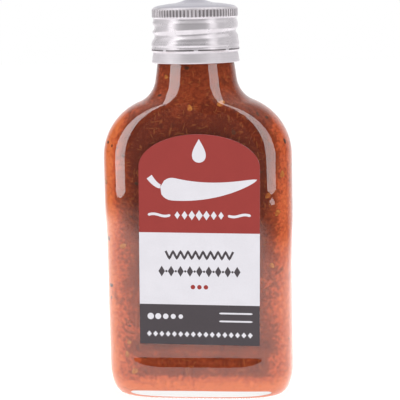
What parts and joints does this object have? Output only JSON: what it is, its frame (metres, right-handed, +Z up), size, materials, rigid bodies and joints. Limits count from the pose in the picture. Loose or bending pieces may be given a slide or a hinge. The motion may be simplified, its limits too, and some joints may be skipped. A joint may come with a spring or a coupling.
{
  "type": "hot sauce bottle",
  "caption": "Flat clear-glass pocket flask filled with red-brown chilli sauce, with a rolled-on aluminium screw cap with a tear band and an arched paper label on its front.",
  "frame": {"origin": "middle of the bottle's footprint, on the plane it stands on", "axes": "+Z up along the neck, +X along the flask's width, -Y out of the front with the label"},
  "size_m": [0.0618, 0.03, 0.1296],
  "materials": {
    "glass": "clear, polished flint glass",
    "sauce": "red-brown chilli and tomato sauce with seeds and flecks",
    "label_paper": "coated paper in red, white and dark grey fields",
    "cap_aluminium": "bright rolled aluminium"
  },
  "bodies": {
    "root": {"bottle": "glass", "sauce": "sauce", "label": "label_paper", "cap": "cap_aluminium"}
  },
  "joints": []
}
